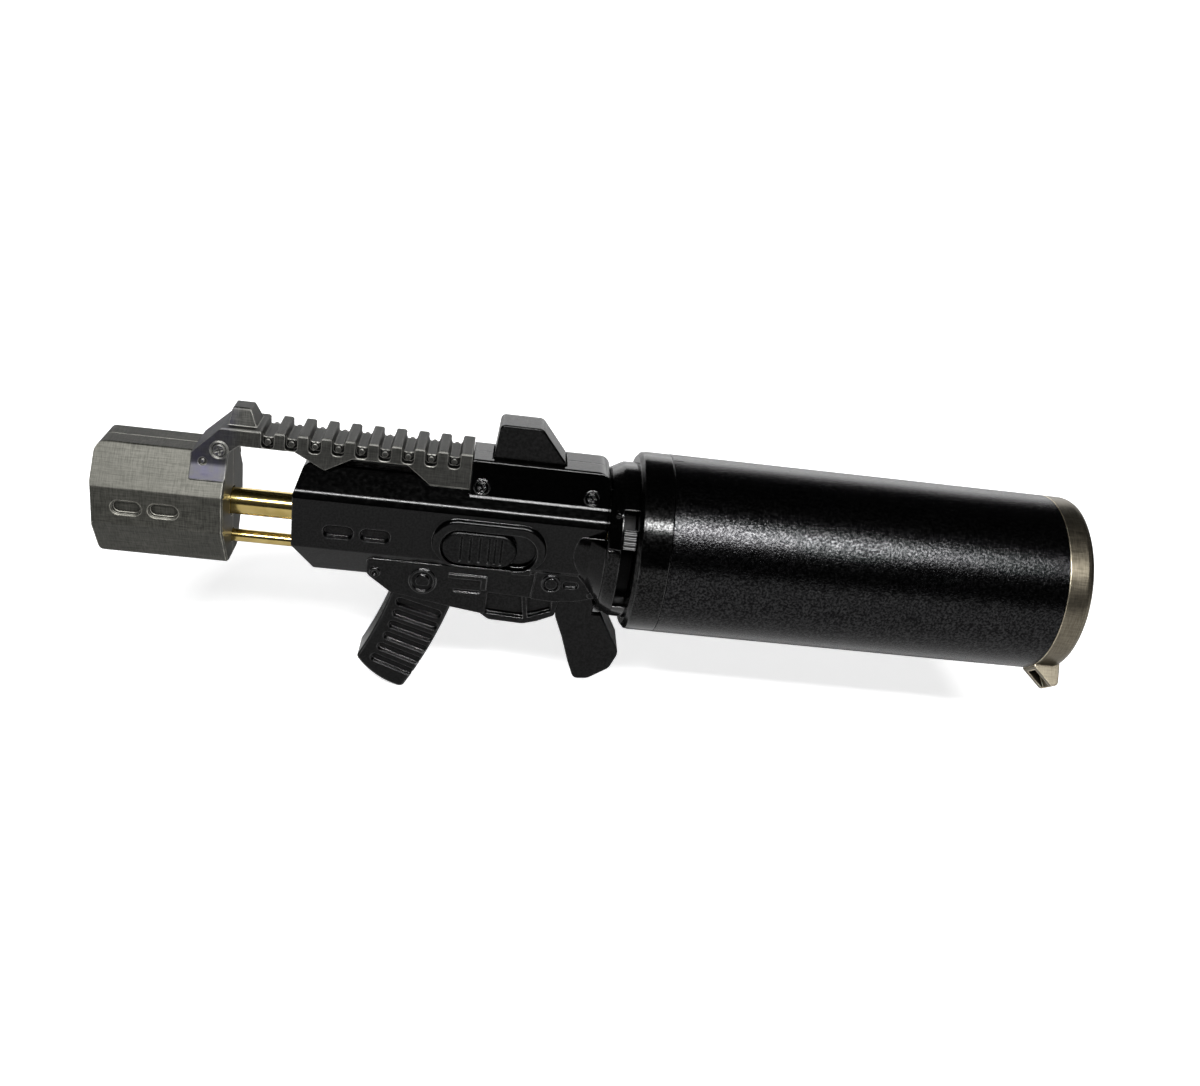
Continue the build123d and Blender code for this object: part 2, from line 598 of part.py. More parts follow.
def sight_button():
    """Ignition button shaped as a sight, with retaining lips and a foot for the lever."""
    top = side_slab(BUTTON, [0, 0.8, 1.1, 1.6, 1.0, 0], -BUTTON_HALF, BUTTON_HALF)
    top = fillet(top.faces().sort_by(Axis.Y)[0].edges().filter_by(
        lambda edge: edge.center().Z > 18.5), 0.4)
    top = fillet(top.faces().sort_by(Axis.Y)[-1].edges().filter_by(
        lambda edge: edge.center().Z > 18.5), 0.4)
    lips = block((-131.2, -116.6), (-4.3, 4.3), (13.0, 15.4))
    foot = block((-121.3, -119.7), (-1.2, 1.2), (-3.5, 13.2))
    return top + lips + foot


def piezo_case():
    """Piezo igniter case with a bore for its plunger."""
    case = block((-130.0, -124.0), (-2.7, 2.7), (-14.5, 5.0))
    return case - block((-128.75, -125.25), (-1.75, 1.75), (-2.0, 6.0))


def piezo_plunger():
    """Piezo plunger, pushed by the button."""
    return block((-128.7, -125.3), (-1.7, 1.7), (2.0, 12.95))


def button_spring():
    """Return spring around the plunger."""
    return Pos(-127.0, 0, 0) * coil(5.05, 12.95, 2.95, 0.25, 5, axis="Z")


# ---------------------------------------------------------------- valve train
def valve_lever():
    """Bell crank: the button's foot tips it and its fork pulls the valve stem."""
    arm = block((LEVER_X - 10.2, LEVER_X), (-1.1, 1.1), (LEVER_Z - 0.8, LEVER_Z + 0.6))
    hub = cross_rod(-2.9, 2.9, 1.7, LEVER_X, LEVER_Z)
    crank = arm + hub
    for low, high in ((-2.6, -1.4), (1.4, 2.6)):
        crank += block((LEVER_X - 0.4, LEVER_X + 0.5), (low, high), (LEVER_Z, 0.1))
    return crank - cross_rod(-4, 4, 0.8 + RUNNING, LEVER_X, LEVER_Z)


def valve_stem():
    """Stem with the lever's flange in front and its seat behind."""
    return (rod(-114.0, -94.0, STEM_R) + rod(-112.6, -112.0, 2.4) + rod(-94.5, -93.2, 1.9))


def valve_body():
    """Brass valve body with an offset outlet barb."""
    body = rod(-108.4, -86.0, 3.2)
    body += block((-107.6, -104.2), (0, 6.4), (-1.7, 1.7))
    body += rod(-111.0, -107.6, 0.75, y=5.2)
    body += rod(-97.4, -96.6, 4.6)
    body -= rod(-109.0, -86.0 + 1, STEM_R + RUNNING)
    body -= rod(-102.1, -100.9, 2.0)
    body -= rod(-100.2, -90.5, 2.2)
    body -= rod(-91.0, -85.0, 1.3)
    body -= rod(-112.0, -106.0, 0.4, y=5.2)
    return body


def gas_hose():
    """Hose from the outlet barb to the gas jet."""
    route = FilletPolyline((-107.7, 5.2, 0), (-130.5, 5.2, 0), (-138.0, 0, TUBE_Z),
                           (-143.5, 0, TUBE_Z), radius=[6.0, 5.0])
    start = Plane(origin=route @ 0, z_dir=route % 0)
    return sweep(start * (Circle(1.3) - Circle(0.8)), route)


def gas_jet():
    """Orifice fitting in the rear end of the burner tube."""
    body = rod(-147.0, -143.6, TUBE_R, z=TUBE_Z) + rod(-150.0, -147.0, TUBE_BORE - 0.02, z=TUBE_Z)
    body += rod(-143.6, -141.2, 0.75, z=TUBE_Z)
    return body - rod(-151.0, -140.0, 0.3, z=TUBE_Z)


def ignition_lead():
    """Insulated lead from the piezo case to the electrode."""
    route = FilletPolyline((-130.1, 0, -8.0), (-136.0, 0, -8.0), (-143.0, 0, LEAD_Z),
                           (-190.4, 0, LEAD_Z), radius=[5.0, 6.0])
    start = Plane(origin=route @ 0, z_dir=route % 0)
    return sweep(start * Circle(0.7), route)


# ---------------------------------------------------------------- thumb slider
def thumb_slider():
    """Ribbed slider with a neck through the shell's slot."""
    low, high = SLIDER_REST - SLIDER_LENGTH / 2, SLIDER_REST + SLIDER_LENGTH / 2
    bottom, top = SLIDER_Z - SLIDER_HEIGHT / 2, SLIDER_Z + SLIDER_HEIGHT / 2
    pad = stadium(low, high, bottom, top, -BODY_HALF - 1.1, -SLIDER_BED - 0.06)
    pad = fillet(pad.faces().sort_by(Axis.Y)[0].edges(), 0.7)
    for x in (-3.9, -1.9, 0.1, 2.1, 3.4, 4.7):
        pad -= block((SLIDER_REST + x - 0.22, SLIDER_REST + x + 0.22), (-12.0, -10.75),
                     (bottom + 0.9, top - 0.9))
    neck = stadium(-135.7, -129.9, -1.9, -0.1, -SLIDER_BED - 0.2, -7.6)
    return pad + neck


def slider_carriage():
    """Inner plate that keeps the slider on the shell."""
    return stadium(-137.5, -128.1, -4.0, 2.0, -7.6, -6.6)


def detent_spring():
    """Leaf spring that the carriage clicks over."""
    leaf = block((-139.0, -122.0), (-5.2, -4.9), (-1.9, -0.1))
    return leaf + block((-141.0, -139.0), (-7.8, -4.9), (-1.9, -0.1))


# ---------------------------------------------------------------- neck and flame adjuster
SLOT_TOP, SLOT_BOTTOM = 46.0, -34.0      # slot ends, degrees above the left-hand horizontal
TAB_ANGLE, TAB_WIDTH = 24.8, 13.4
RING_R = 14.4                # adjuster ring, outside


def sector(x_low, x_high, radius, angle_low, angle_high):
    """Wedge about X; angles are degrees above the -Y direction."""
    steps = 8
    span = [angle_low + (angle_high - angle_low) * k / steps for k in range(steps + 1)]
    arc = [(-2 * radius * cos(radians(a)), 2 * radius * sin(radians(a))) for a in span]
    plane = Plane(origin=(x_low, 0, 0), x_dir=(0, 1, 0), z_dir=(1, 0, 0))
    wedge = extrude(plane * make_face(Polyline((0, 0), *arc, close=True)), x_high - x_low)
    return wedge & rod(x_low - 1, x_high + 1, radius)


def neck_ring():
    """Flared neck with the adjuster's slot."""
    outer = turned([(X_BODY, 0), (X_BODY, 15.5), (X_BODY + 0.4, 15.9), (X_NECK - 3.4, 17.1),
                    (X_NECK - 2.9, 17.3), (X_NECK, 17.4), (X_NECK, 0)])
    ring = outer - rod(X_NECK - 3.15, X_NECK + 1, RING_R + RUNNING)
    ring -= sector(X_NECK - 3.15, X_NECK + 1, 19.0, SLOT_BOTTOM, SLOT_TOP)
    ring += Rot(-43, 0, 0) * Pos(X_NECK - 4.2, -16.6, 0) * Sphere(0.85)
    ring -= Rot(-15.5, 0, 0) * Pos(X_NECK - 4.8, -16.4, 0) * Box(3.0, 1.4, 0.6)
    return ring - rod(X_BODY - 1, X_NECK - 3.15, 12.4)


def adjuster_ring():
    """Flame adjuster: ring, ribbed tab, spokes and hub around the flow regulator."""
    low, high = X_NECK - 2.95, X_NECK - 0.2
    ring = pipe(low, high, RING_R, 12.6)
    tab = sector(low, high, 17.9, TAB_ANGLE - TAB_WIDTH / 2, TAB_ANGLE + TAB_WIDTH / 2)
    ring += tab - rod(low - 1, high + 1, RING_R - 0.5)
    for k in range(4):
        turn = TAB_ANGLE - 5.1 + 3.4 * k
        ring -= Rot(-turn, 0, 0) * Pos(low, -18.0, 0) * Rot(0, 90, 0) * Cylinder(0.38, 8)
    ring += pipe(low, high, 5.0, 4.0)
    for k in range(3):
        ring += Rot(120 * k + 30, 0, 0) * block((low, high), (4.6, 13.0), (-1.1, 1.1))
    return ring


def flow_regulator():
    """Regulator nut turned by the adjuster's hub."""
    return pipe(X_NECK - 3.1, X_NECK - 0.1, 3.98, 3.2 + RUNNING)


def tank_collar():
    """Collar that carries the neck, the valve head and the tank sleeve."""
    outer = turned([(X_NECK, 0), (X_NECK, 18.9), (X_NECK + 0.8, 19.8), (X_NECK + 1.6, 19.95),
                    (X_COLLAR, 19.95), (X_COLLAR, 18.5), (X_COLLAR + 5, 18.5),
                    (X_COLLAR + 5, 0)])
    return outer - rod(X_NECK - 1, X_NECK + 2.1, 12.4) - rod(X_NECK + 2, X_COLLAR + 6, 17.3)


# ---------------------------------------------------------------- tank
def tank_sleeve():
    """Outer sleeve, with a small locating key at its front edge."""
    sleeve = pipe(X_COLLAR, X_CAP, TANK_R, TANK_R - WALL)
    ends = [edge for edge in sleeve.edges().filter_by(GeomType.CIRCLE)
            if abs(edge.radius - TANK_R) < 0.01]
    key = block((X_COLLAR + 0.3, X_COLLAR + 2.5), (-0.2, 0.2), (TANK_R - 0.4, TANK_R + 1))
    return chamfer(ends, 0.2) - key


def front_head():
    """Front head of the fuel can, bored for the valve."""
    head = rod(-97.9, -94.1, 17.2) + rod(-94.1, -91.4, 14.9) + rod(-91.4, -90.4, 16.2)
    head -= rod(-98.0, -96.5, 4.65)
    return head - rod(-99, -89, 3.2 + 0.02)


def fuel_can():
    """Drawn aluminium fuel can."""
    return pipe(-94.1, -12.0, 17.2, 16.4)


def rear_head():
    """Rear head of the fuel can, bored for the refill valve."""
    head = rod(-12.0, -9.4, 17.2) + rod(-14.0, -12.0, 14.9) + rod(-15.0, -14.0, 16.2)
    return head - rod(-16, -9, 2.5 + 0.02)


def can_seals():
    """O-rings on the two heads."""
    return torus_x(-92.75, 15.64, 0.7), torus_x(-13.0, 15.64, 0.7)


def dip_tube():
    """Tube that draws liquid gas from the low side of the can."""
    route = FilletPolyline((-89.9, 0, 0), (-72.0, 0, 0), (-30.0, 0, -12.0), radius=14.0)
    start = Plane(origin=route @ 0, z_dir=route % 0)
    return sweep(start * (Circle(1.25) - Circle(0.8)), route)


def refill_body():
    """Refill valve body in the rear head."""
    body = rod(-20.0, -3.6, 2.5) + rod(-9.4, -8.6, 4.0)
    body -= rod(-21.0, -3.0, 0.9 + RUNNING)
    body -= rod(-18.6, -6.4, 1.9)
    return body


def refill_stem():
    """Refill valve stem, pressed from behind by a filling nozzle."""
    stem = rod(-17.0, -1.7, 0.9) + rod(-8.0, -6.6, 1.7)
    return stem - rod(-6.0, 0.0, 0.35)


def base_cap():
    """Base cap with a central refill recess and a ramped lug."""
    cap = turned([(X_CAP, 0), (X_CAP, TANK_R), (-1.9, TANK_R), (-1.2, 19.85), (-0.55, 19.5),
                  (-0.15, 18.9), (0, 18.2), (0, 0)])
    cap += rod(X_CAP - 3.0, X_CAP, 18.45)
    cap -= rod(X_CAP - 4.0, -2.6, 17.3)
    cap -= rod(-1.6, 1.0, 5.0)
    cap -= rod(-4.0, 1.0, 2.7)
    return cap + lug()


LUG_ANGLE = 38.0             # degrees from straight down towards the left side


def lug():
    """Ramped lug on the cap's rim."""
    outline = [(-5.95, 18.3), (-5.95, 20.2), (-1.9, 24.4), (-0.5, 24.0), (-0.1, 19.0),
               (-1.0, 18.3)]
    fin = side_slab([(x, -r) for x, r in outline], [0, 0.3, 0.9, 1.2, 0.3, 0], -3.0, 3.0)
    pocket = side_slab([(-5.6, -20.6), (-1.2, -25.2), (-3.0, -19.6)], 0.3, -1.9, 1.9)
    fin -= pocket
    return Rot(-LUG_ANGLE, 0, 0) * fin


# ---------------------------------------------------------------- build
def build():
    """Export every node."""
    left, right = halves(shroud())
    export("shroud_left", left)
    export("shroud_right", right)
    export("burner_nozzle", nozzle())
    export("flame_disc", flame_disc())
    export("nozzle_holder", nozzle_holder())
    export("burner_tube", pipe(-193.9, -147.0, TUBE_R, TUBE_BORE, z=TUBE_Z))
    export("lead_tube", pipe(-199.9, -166.6, LEAD_R, LEAD_BORE, z=LEAD_Z))
    export("electrode_insulator", pipe(-205.6, -191.0, LEAD_BORE - 0.03, 0.45, z=LEAD_Z))
    export("electrode", electrode())
    export("top_rail", top_rail())
    left, right = shells()
    export("body_shell_left", left)
    export("body_shell_right", right)
    export("shell_screws", shell_screws())
    export("magazine", magazine())
    export("pistol_grip", grip())
    export("sight_button", sight_button())
    export("button_spring", button_spring())
    export("piezo_case", piezo_case())
    export("piezo_plunger", piezo_plunger())
    export("valve_lever", valve_lever())
    export("lever_pin", cross_rod(-7.8, 7.8, 0.8, LEVER_X, LEVER_Z))
    export("valve_stem", valve_stem())
    export("valve_body", valve_body())
    export("valve_spring", coil(-100.1, -94.6, 1.55, 0.25, 6))
    export("valve_o_ring", torus_x(-101.5, 1.52, 0.42))
    export("gas_hose", gas_hose())
    export("gas_jet", gas_jet())
    export("ignition_lead", ignition_lead())
    export("thumb_slider", thumb_slider())
    export("slider_carriage", slider_carriage())
    export("detent_spring", detent_spring())
    export("neck_ring", neck_ring())
    export("adjuster_ring", adjuster_ring())
    export("flow_regulator", flow_regulator())
    export("tank_collar", tank_collar())
    export("tank_sleeve", tank_sleeve())
    export("front_head", front_head())
    export("fuel_can", fuel_can())
    export("rear_head", rear_head())
    front_seal, rear_seal = can_seals()
    export("front_seal", front_seal)
    export("rear_seal", rear_seal)
    export("dip_tube", dip_tube())
    export("refill_body", refill_body())
    export("refill_stem", refill_stem())
    export("refill_spring", coil(-18.4, -8.1, 1.4, 0.25, 8))
    export("base_gasket", pipe(-9.4, -8.1, 12.0, 4.2))
    export("base_cap", base_cap())


build()
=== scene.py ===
"""Looks of the rifle-shaped jet torch lighter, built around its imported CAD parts.

Row frame, in metres: +X runs from the muzzle to the tank's base, +Z is up, -Y is the side
with the thumb slider.
"""
import json
import math

import bpy
from mathutils import Matrix, Vector


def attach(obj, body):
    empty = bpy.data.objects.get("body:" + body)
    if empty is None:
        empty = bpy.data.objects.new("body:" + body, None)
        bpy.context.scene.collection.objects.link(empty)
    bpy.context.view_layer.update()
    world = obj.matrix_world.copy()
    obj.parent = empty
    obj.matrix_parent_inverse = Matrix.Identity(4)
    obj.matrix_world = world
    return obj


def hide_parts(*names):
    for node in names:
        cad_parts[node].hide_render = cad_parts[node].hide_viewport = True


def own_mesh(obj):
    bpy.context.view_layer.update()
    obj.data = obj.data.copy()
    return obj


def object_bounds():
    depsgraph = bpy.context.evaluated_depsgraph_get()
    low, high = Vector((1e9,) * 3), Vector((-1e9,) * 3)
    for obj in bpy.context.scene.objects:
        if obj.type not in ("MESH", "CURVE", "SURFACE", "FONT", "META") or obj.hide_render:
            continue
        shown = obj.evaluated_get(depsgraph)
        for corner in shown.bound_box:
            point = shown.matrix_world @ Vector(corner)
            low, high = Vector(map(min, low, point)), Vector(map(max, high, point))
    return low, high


MM = 0.001

CAMERA_PLACE = Vector((-132.3, -248.1, 117.6)) * MM
CAMERA_HEADING = 6.02            # degrees to the right of +Y
CAMERA_DOWN = 25.54              # degrees below the horizon
CAMERA_ROLL = 8.49               # degrees anticlockwise, seen from behind the camera
SENSOR = 36.0
LENS = 36.96

# paper sweep
FLOOR_FRONT = -0.26
FLOOR_GAP = 0.3 * MM             # between the paper and the lowest point of the lighter
BACKDROP_Y = 0.75                # where the paper starts to bend up
BACKDROP_HEIGHT = 0.62
BEND_RADIUS = 0.35
BEND_STEPS = 16
PAPER_HALF_WIDTH = 3.2
FLOOR_GLOW = 0.72                # share of white that the camera alone sees in the paper
PAPER_BOUNCE = 0.55              # how pale the paper is to anything but the camera

# light: places and sizes in metres, powers in watts
LIGHTER_MIDDLE = (-0.107, 0, 0)
STRIP_PLACE, STRIP_SIZE, STRIP_POWER = (-0.12, -0.60, 0.62), (0.78, 0.12), 13.5
REAR_PLACE, REAR_SIZE, REAR_POWER = (-0.12, 0.62, 0.22), (0.9, 0.25), 0.6
WASH_PLACE, WASH_SIZE, WASH_POWER = (-0.1, 0.42, 0.55), (1.8, 0.3), 14.0
WASH_AIM = (-0.1, 1.3, 0.35)
ROOM_TINT, ROOM_STRENGTH = (0.95, 0.97, 1.0, 1.0), 0.035
SEEN_TINT, SEEN_STRENGTH = (1, 1, 1, 1), 0.98

# finishes
EDGE_RADIUS = 0.35 * MM          # how wide an edge looks rounded
CREVICE_REACH = 1.6 * MM         # how near a wall has to be to darken its neighbour with painted shade
PAINTED_RECESS_SHADE = (0.001, 0.001, 0.001)    # painted shade put into the recesses of black parts
LEVER_FROM = 14.7 * MM           # distance from the tank's axis where the adjuster is bare
# x along which the rail's painted purple reflection fades from full to none
PAINTED_SHEEN_FROM, PAINTED_SHEEN_TO = -0.1890, -0.1845

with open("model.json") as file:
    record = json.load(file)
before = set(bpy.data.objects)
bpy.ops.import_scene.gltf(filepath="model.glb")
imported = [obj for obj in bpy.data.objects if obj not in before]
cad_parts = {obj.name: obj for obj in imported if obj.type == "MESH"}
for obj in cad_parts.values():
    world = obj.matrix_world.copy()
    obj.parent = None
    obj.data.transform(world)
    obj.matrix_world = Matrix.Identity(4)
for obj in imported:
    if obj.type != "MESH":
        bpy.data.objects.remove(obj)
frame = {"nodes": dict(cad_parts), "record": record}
cad_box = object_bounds()
nodes = frame["nodes"]


# ---------------------------------------------------------------- node helpers
class Shader:
    """Small helper that adds and links shader nodes for one material."""

    def __init__(self, name):
        self.material = bpy.data.materials.new(name)
        self.material.use_nodes = True
        self.tree = self.material.node_tree
        self.surface = self.tree.nodes["Principled BSDF"]
        self.object = self.add("ShaderNodeTexCoord").outputs["Object"]
        self.normal = None

    def add(self, kind, **settings):
        """New shader node of a kind, with its settings."""
        node = self.tree.nodes.new(kind)
        for name, value in settings.items():
            setattr(node, name, value)
        return node

    def link(self, source, target):
        """Join an output to an input."""
        self.tree.links.new(source, target)

    def feed(self, node, **values):
        """Set or link a node's inputs by name, an underscore standing for a blank."""
        for name, value in values.items():
            socket = node.inputs[name.replace("_", " ")]
            if isinstance(value, bpy.types.NodeSocket):
                self.link(value, socket)
            else:
                socket.default_value = value

    def stretched(self, scale, turn=(0, 0, 0)):
        """Object coordinates scaled along the axes."""
        mapping = self.add("ShaderNodeMapping")
        self.link(self.object, mapping.inputs["Vector"])
        mapping.inputs["Scale"].default_value = scale
        mapping.inputs["Rotation"].default_value = [math.radians(a) for a in turn]
        return mapping.outputs["Vector"]

    def noise(self, scale, detail=2.0, roughness=0.5, vector=None):
        """Noise value over the object, or over coordinates of its own."""
        node = self.add("ShaderNodeTexNoise")
        self.feed(node, Scale=scale, Detail=detail, Roughness=roughness)
        self.link(vector or self.object, node.inputs["Vector"])
        return node.outputs["Fac"]

    def ramp(self, value, stops, colours):
        """Colour that a value has between stops."""
        node = self.add("ShaderNodeValToRGB")
        self.link(value, node.inputs["Fac"])
        elements = node.color_ramp.elements
        while len(elements) < len(stops):
            elements.new(0.5)
        for element, stop, colour in zip(elements, stops, colours):
            element.position = stop
            element.color = (*colour, 1.0)
        return node.outputs["Color"]

    def spread(self, value, low, high, from_low=0.3, from_high=0.7):
        """Map a noise value onto a range."""
        node = self.add("ShaderNodeMapRange")
        self.feed(node, From_Min=from_low, From_Max=from_high, To_Min=low, To_Max=high)
        self.link(value, node.inputs["Value"])
        return node.outputs["Result"]

    def mean(self, first, second):
        """Mean of two noise values."""
        node = self.add("ShaderNodeMix", data_type="FLOAT")
        node.inputs[0].default_value = 0.5
        self.link(first, node.inputs[2])
        self.link(second, node.inputs[3])
        return node.outputs[0]

    def times(self, first, second):
        """Product of two values."""
        node = self.add("ShaderNodeMath", operation="MULTIPLY")
        self.link(first, node.inputs[0])
        self.link(second, node.inputs[1])
        return node.outputs[0]

    def mix(self, factor, first, second):
        """Colour between two colours."""
        node = self.add("ShaderNodeMix", data_type="RGBA")
        if isinstance(factor, bpy.types.NodeSocket):
            self.link(factor, node.inputs[0])
        else:
            node.inputs[0].default_value = factor
        for index, value in ((6, first), (7, second)):
            if isinstance(value, bpy.types.NodeSocket):
                self.link(value, node.inputs[index])
            else:
                node.inputs[index].default_value = (*value, 1.0)
        return node.outputs[2]

    def bump(self, height, distance, strength=1.0):
        """Add a bump over any rounded edges, with its distance in metres."""
        node = self.add("ShaderNodeBump")
        self.feed(node, Strength=strength, Distance=distance)
        self.link(height, node.inputs["Height"])
        if self.normal:
            self.link(self.normal, node.inputs["Normal"])
        self.link(node.outputs["Normal"], self.surface.inputs["Normal"])

    def rounded(self):
        """Shade the edges as if they were rounded, and return how near a point is to an edge."""
        bevel = self.add("ShaderNodeBevel", samples=6)
        bevel.inputs["Radius"].default_value = EDGE_RADIUS
        self.normal = bevel.outputs["Normal"]
        facing = self.add("ShaderNodeVectorMath", operation="DOT_PRODUCT")
        self.link(self.normal, facing.inputs[0])
        self.link(self.add("ShaderNodeNewGeometry").outputs["Normal"], facing.inputs[1])
        return self.spread(facing.outputs["Value"], 1.0, 0.0, 0.95, 0.998)

    def edge_wear_and_painted_glint(self, least, most):
        """Patchy lightening along the edges, which are shaded rounded: partly wear, partly a
        painted highlight for the glints along edges.
        """
        return self.times(self.rounded(), self.spread(self.noise(500, 3), least, most))

    def painted_recess_shade(self):
        """How open a point is: 1 on a free face, less in a recess, where painted shade goes."""
        node = self.add("ShaderNodeAmbientOcclusion", samples=6, only_local=True)
        node.inputs["Distance"].default_value = CREVICE_REACH
        return self.spread(node.outputs["AO"], 0.12, 1.0, 0.35, 0.9)

    def colour(self, value):
        """Base colour of the surface."""
        self.tie("Base Color", value)

    def tie(self, socket, value):
        """Set or link an input of the surface."""
        target = self.surface.inputs[socket]
        if isinstance(value, bpy.types.NodeSocket):
            self.link(value, target)
        elif socket.endswith("Color"):
            target.default_value = (*value, 1.0)
        else:
            target.default_value = value


# ---------------------------------------------------------------- materials
def gunmetal(name, dark, light, roughness=(0.34, 0.46), painted_sheen=None):
    """Brushed dark plating: scratches both ways, soft clouding, painted shade in recesses, edges
    lightened by wear and a painted highlight, and an optional painted purple reflection at the
    front end.
    """
    shader = Shader(name)
    along = shader.noise(1.0, 4, 0.65, shader.stretched((260, 2600, 4200), (4, 0, 3)))
    across = shader.noise(1.0, 4, 0.65, shader.stretched((4200, 420, 420), (0, 5, 8)))
    cloud = shader.noise(110, 3)
    scratches = shader.mean(along, across)
    tone = shader.ramp(scratches, (0.40, 0.62), (dark, light))
    tone = shader.mix(shader.spread(cloud, 0.0, 0.35), tone, dark)
    # painted reflection: a purple tint in streaks over the front end, standing in for its bluish
    # sheen
    if painted_sheen:
        place = shader.add("ShaderNodeSeparateXYZ")
        shader.link(shader.object, place.inputs["Vector"])
        edge = shader.spread(place.outputs["X"], 1.0, 0.0, PAINTED_SHEEN_FROM, PAINTED_SHEEN_TO)
        streaks = shader.spread(shader.noise(420, 3), 0.2, 1.0)
        tone = shader.mix(shader.times(edge, streaks), tone, painted_sheen)
    # painted shade: recesses darkened towards a third of the dark tone
    tone = shader.mix(shader.painted_recess_shade(), [c * 0.3 for c in dark], tone)
    # edges lightened towards six times the light tone: partly wear, partly a painted highlight for
    # the edge glints
    shader.colour(shader.mix(shader.edge_wear_and_painted_glint(0.15, 0.8), tone, [c * 6 for c in light]))
    shader.tie("Metallic", 1.0)
    shader.tie("Roughness", shader.spread(scratches, *roughness, 0.35, 0.65))
    shader.bump(scratches, 0.007 * MM, 0.7)
    return shader.material


def enamel(name, grain=(0.010, 0.030), roughness=(0.09, 0.17)):
    """Gloss black enamel, its skin finely grained between a dull and a bright reflectance."""
    shader = Shader(name)
    dull, bright = grain
    skin = shader.ramp(shader.noise(2300, 2, 0.6), (0.40, 0.60), ([dull] * 3, [bright] * 3))
    # painted shade: recesses darkened to near black
    skin = shader.mix(shader.painted_recess_shade(), PAINTED_RECESS_SHADE, skin)
    # painted highlight: edges lightened to stand in for the glints along them
    shader.colour(shader.mix(shader.edge_wear_and_painted_glint(0.15, 0.9), skin, (0.13, 0.13, 0.13)))
    shader.tie("Metallic", 1.0)
    shader.tie("Roughness", shader.spread(shader.noise(1100, 3), *roughness))
    shader.bump(shader.noise(2700, 3, 0.6), 0.012 * MM, 0.9)
    return shader.material


def satin_black(name, grain=(0.011, 0.021), roughness=(0.24, 0.34)):
    """Semi-matte black with a powdery surface."""
    shader = Shader(name)
    dull, bright = grain
    powder = shader.ramp(shader.noise(1700, 3), (0.35, 0.65), ([dull] * 3, [bright] * 3))
    # painted shade: recesses darkened to near black
    powder = shader.mix(shader.painted_recess_shade(), PAINTED_RECESS_SHADE, powder)
    # painted highlight: edges lightened to stand in for the glints along them
    shader.colour(shader.mix(shader.edge_wear_and_painted_glint(0.1, 0.6), powder, (0.09, 0.09, 0.09)))
    shader.tie("Metallic", 1.0)
    shader.tie("Roughness", shader.spread(shader.noise(1400, 2), *roughness))
    shader.bump(shader.noise(4200, 2), 0.01 * MM, 0.8)
    return shader.material


def sand_black(name):
    """Tank finish: black lacquer with a sparkling sand texture."""
    shader = Shader(name)
    speck = shader.noise(1900, 2, 0.65)
    cloud = shader.spread(shader.noise(300, 3), 0.0, 0.25)
    sand = shader.ramp(speck, (0.42, 0.63), ((0.008, 0.008, 0.0085), (0.048, 0.048, 0.049)))
    shader.colour(shader.mix(cloud, sand, (0.010, 0.010, 0.0105)))
    shader.tie("Metallic", 1.0)
    shader.tie("Roughness", shader.spread(shader.noise(1300, 2), 0.15, 0.22))
    shader.bump(shader.noise(2500, 3, 0.65), 0.06 * MM, 0.9)
    return shader.material


def brass(name, colour, dark, roughness=(0.1, 0.2)):
    """Drawn and polished brass with faint lengthwise lines."""
    shader = Shader(name)
    lines = shader.noise(1.0, 3, 0.6, shader.stretched((60, 5200, 5200)))
    tarnish = shader.noise(260, 4)
    shader.colour(shader.mix(shader.spread(tarnish, 0.0, 0.6), colour, dark))
    shader.tie("Metallic", 1.0)
    shader.tie("Roughness", shader.spread(lines, *roughness))
    shader.bump(lines, 0.004 * MM, 0.5)
    return shader.material


def plain_metal(name, colour, roughness=(0.25, 0.4)):
    """Machined or drawn bare metal."""
    shader = Shader(name)
    grain = shader.noise(1.0, 3, 0.6, shader.stretched((900, 3000, 3000)))
    shader.colour(shader.mix(shader.spread(grain, 0.0, 0.4), colour, [c * 0.75 for c in colour]))
    shader.tie("Metallic", 1.0)
    shader.tie("Roughness", shader.spread(grain, *roughness))
    shader.bump(grain, 0.006 * MM, 0.5)
    return shader.material


def adjuster_finish(name, colour, dark):
    """Blackened ring whose lever is bare metal."""
    shader = Shader(name)
    grain = shader.noise(1.0, 3, 0.6, shader.stretched((900, 3000, 3000)))
    flat = shader.add("ShaderNodeVectorMath", operation="MULTIPLY")
    shader.link(shader.object, flat.inputs[0])
    flat.inputs[1].default_value = (0, 1, 1)
    distance = shader.add("ShaderNodeVectorMath", operation="LENGTH")
    shader.link(flat.outputs["Vector"], distance.inputs[0])
    bare = shader.spread(distance.outputs["Value"], 0.0, 1.0, LEVER_FROM, LEVER_FROM + 0.3 * MM)
    tone = shader.mix(shader.spread(grain, 0.0, 0.4), colour, [c * 0.6 for c in colour])
    shader.colour(shader.mix(bare, dark, tone))
    shader.tie("Metallic", 1.0)
    shader.tie("Roughness", shader.spread(grain, 0.28, 0.4))
    shader.rounded()
    shader.bump(grain, 0.008 * MM, 0.6)
    return shader.material


def moulded(name, colour, roughness=0.5):
    """Moulded plastic, rubber or glazed ceramic."""
    shader = Shader(name)
    shader.colour(shader.ramp(shader.noise(400, 3), (0.3, 0.7),
                              (colour, [min(1.0, c * 1.15 + 0.004) for c in colour])))
    shader.tie("Roughness", shader.spread(shader.noise(1500, 2), roughness * 0.85,
                                          min(1.0, roughness * 1.15)))
    shader.bump(shader.noise(2500, 2), 0.01 * MM, 0.7)
    return shader.material


